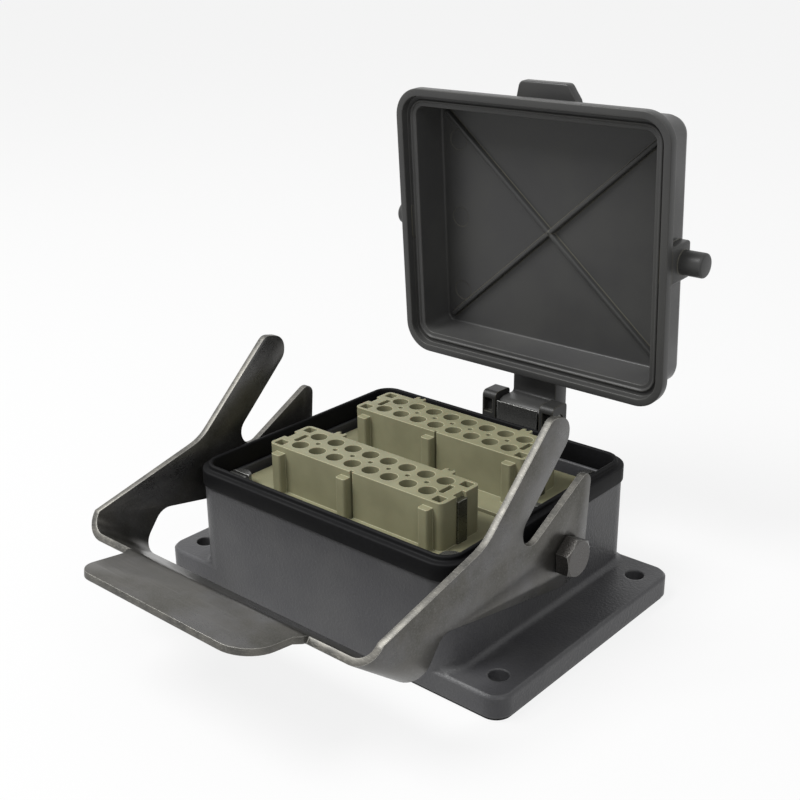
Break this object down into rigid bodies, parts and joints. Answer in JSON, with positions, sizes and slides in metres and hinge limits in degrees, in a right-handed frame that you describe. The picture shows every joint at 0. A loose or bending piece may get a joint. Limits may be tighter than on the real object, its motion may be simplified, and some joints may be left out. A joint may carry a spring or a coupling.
{
  "type": "heavy duty rectangular connector",
  "caption": "Bulkhead mounting housing of a heavy duty rectangular connector with two socket inserts, a steel locking lever and a hinged protective cover.",
  "frame": {"origin": "centre of the mounting face, which is the underside of the flange seal", "axes": "+X along the long side, +Y from the lever side to the hinge side, +Z out of the panel towards the mating side"},
  "size_m": [0.1242, 0.1643, 0.1377],
  "materials": {
    "housing_paint": "satin powder coat",
    "rubber": "matt",
    "insert_plastic": "satin",
    "contact_silver": "silver plated",
    "screw_steel": "bright zinc",
    "lever_steel": "rolled stainless sheet",
    "cover_plastic": "semi-gloss moulding"
  },
  "bodies": {
    "housing": {"housing": "housing_paint", "rim_seal": "rubber", "flange_seal": "rubber", "insert_front": "insert_plastic", "insert_rear": "insert_plastic", "sockets_front": "contact_silver", "sockets_rear": "contact_silver", "earth_clips_front": "contact_silver", "earth_clips_rear": "contact_silver", "fixing_screws_front": "screw_steel", "fixing_screws_rear": "screw_steel", "terminal_screws_front": "screw_steel", "terminal_screws_rear": "screw_steel", "pivot_bolt_left": "lever_steel", "pivot_bolt_right": "lever_steel", "hinge_bracket": "cover_plastic", "hinge_pin": "screw_steel", "hinge_spring": "screw_steel", "bracket_screws": "screw_steel"},
    "lever": {"locking_lever": "lever_steel"},
    "cover": {"cover": "cover_plastic"}
  },
  "joints": [
    {"name": "cover_swing", "type": "hinge", "parent": "housing", "child": "cover", "pos_m": [0, 0.0544, 0.0368], "axis": [1, 0, 0], "range_deg": [0, 86.3]},
    {"name": "lever_swing", "type": "hinge", "parent": "housing", "child": "lever", "pos_m": [0, 0, 0.0264], "axis": [-1, 0, 0], "range_deg": [0, 49]}
  ]
}
